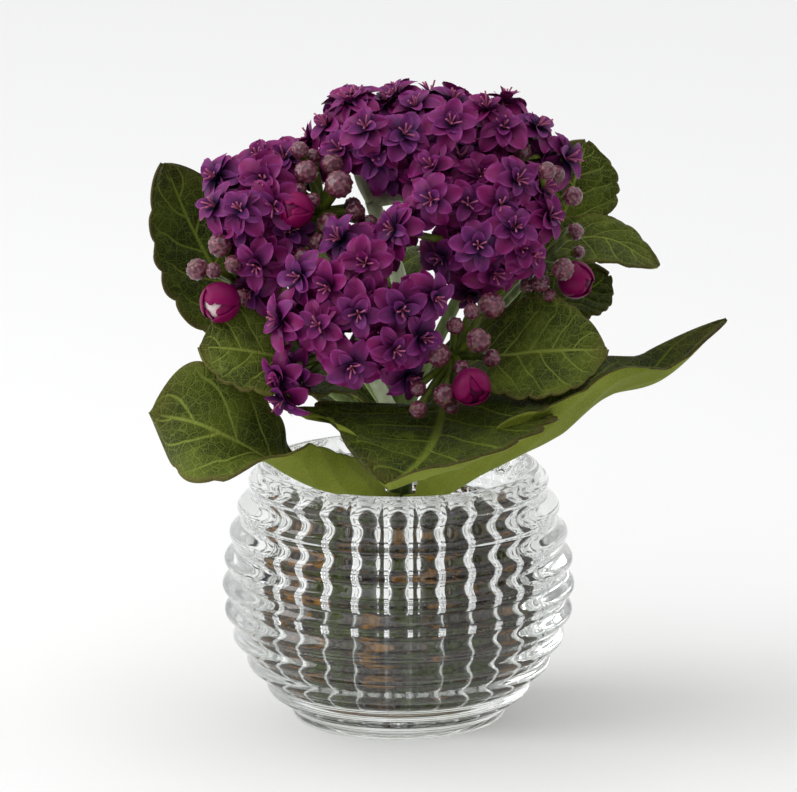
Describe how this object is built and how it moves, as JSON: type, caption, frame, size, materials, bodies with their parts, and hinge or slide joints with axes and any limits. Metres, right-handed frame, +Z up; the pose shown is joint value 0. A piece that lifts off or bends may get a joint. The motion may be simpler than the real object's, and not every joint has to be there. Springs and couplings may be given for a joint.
{
  "type": "potted live plant",
  "caption": "Flowering succulent with scalloped leaves, domed heads of small double blooms and bud sprays, rooted in soil in a round ring-ribbed clear vase with a flat foot.",
  "frame": {"origin": "centre of the vase's flat underside, on the table", "axes": "+Z up, -Y towards the viewer of the plant's front, +X to that viewer's right"},
  "size_m": [0.1779, 0.1562, 0.2013],
  "materials": {
    "clear_glass": "clear, polished, moulded",
    "soil": "crumbly, matt, with roots and moss",
    "stem": "smooth, waxy green",
    "petal": "soft sheen, purple magenta",
    "bud": "bumpy, dusky mauve",
    "leaf": "satin, veined, dark green"
  },
  "bodies": {
    "root": {"glass_vase": "clear_glass", "soil": "soil", "main_stem": "stem", "side_stem_left": "stem", "side_stem_right": "stem", "stalk_top": "stem", "stalk_left": "stem", "stalk_right": "stem", "stalk_front": "stem", "stalk_buds_center": "stem", "stalk_buds_left": "stem", "stalk_buds_front_right": "stem", "stalk_buds_right": "stem", "flowers_top_left": "petal", "flowers_top_middle": "petal", "flowers_top_right": "petal", "flowers_left_upper": "petal", "flowers_left_lower": "petal", "flowers_right_upper": "petal", "flowers_right_lower": "petal", "flowers_front_upper": "petal", "flowers_front_lower": "petal", "buds_center": "bud", "buds_left": "bud", "buds_front_right": "bud", "buds_upper_right": "bud", "buds_right": "bud", "leaf_left_low": "leaf", "leaf_right_low": "leaf", "leaf_center_front": "leaf", "leaf_left_mid": "leaf", "leaf_back_left": "leaf", "leaf_right_front": "leaf", "leaf_right_dark": "leaf", "leaf_right_upper": "leaf", "leaf_right_top": "leaf", "leaf_back_center": "leaf", "leaf_back_right": "leaf", "leaf_back_low": "leaf"}
  },
  "joints": []
}
